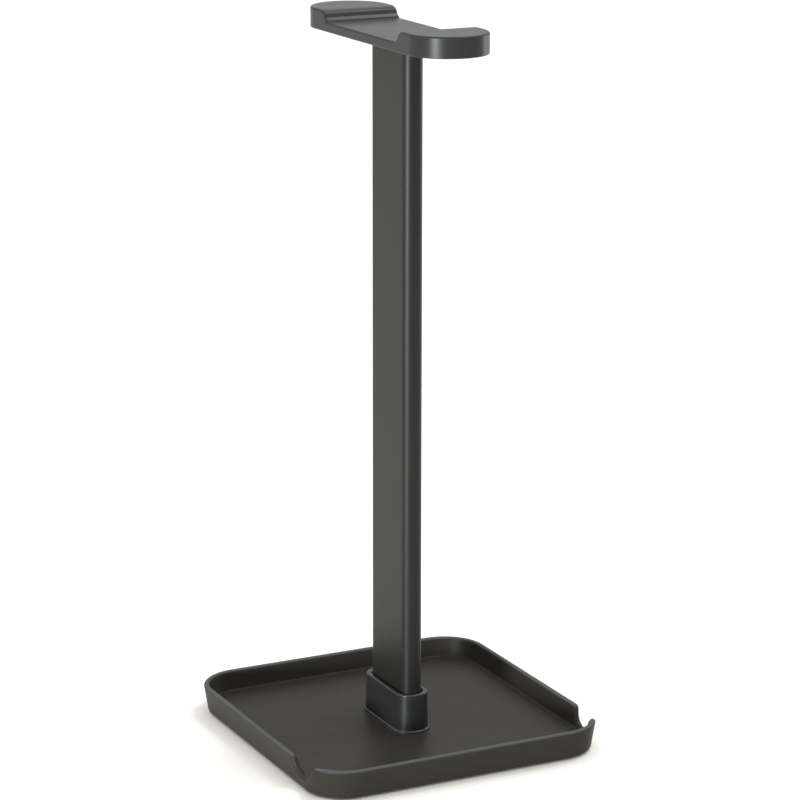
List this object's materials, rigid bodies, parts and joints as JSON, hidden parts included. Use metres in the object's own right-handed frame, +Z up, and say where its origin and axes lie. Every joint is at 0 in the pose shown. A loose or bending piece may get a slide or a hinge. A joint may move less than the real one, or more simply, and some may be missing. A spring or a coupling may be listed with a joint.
{
  "type": "headphone stand",
  "caption": "Tall headphone stand with a square rimmed tray base, a flat column in a socket, and a saddle-shaped headrest with raised ends.",
  "frame": {"origin": "on the ground under the middle of the tray, level with the underside of the feet", "axes": "+Z up along the column, Y along the headrest with -Y towards the cable notches (the front), X across the headrest"},
  "size_m": [0.12, 0.12, 0.2719],
  "materials": {
    "tray_plastic": "fine moulded texture, satin",
    "socket_plastic": "fine moulded texture, satin",
    "cover_plastic": "coarse moulded texture",
    "core_plastic": "moulded, matt",
    "headrest_skin": "soft, matt",
    "foot_rubber": "matt rubber",
    "column_coating": "extruded aluminium under a fine dark powder coat, satin",
    "ballast_steel": "rolled, zinc plated",
    "screw_steel": "zinc plated"
  },
  "bodies": {
    "root": {"base_tray": "tray_plastic", "column_socket": "socket_plastic", "ballast_plate": "ballast_steel", "bottom_cover": "cover_plastic", "foot_front_left": "foot_rubber", "foot_front_right": "foot_rubber", "foot_rear_left": "foot_rubber", "foot_rear_right": "foot_rubber", "cover_screw_front": "screw_steel", "cover_screw_rear": "screw_steel", "cover_screw_left": "screw_steel", "cover_screw_right": "screw_steel", "column_screw_front": "screw_steel", "column_screw_rear": "screw_steel", "column_washer_front": "screw_steel", "column_washer_rear": "screw_steel", "column": "column_coating", "headrest_core": "core_plastic", "headrest_cover": "headrest_skin", "core_screw_front": "screw_steel", "core_screw_rear": "screw_steel"}
  },
  "joints": []
}
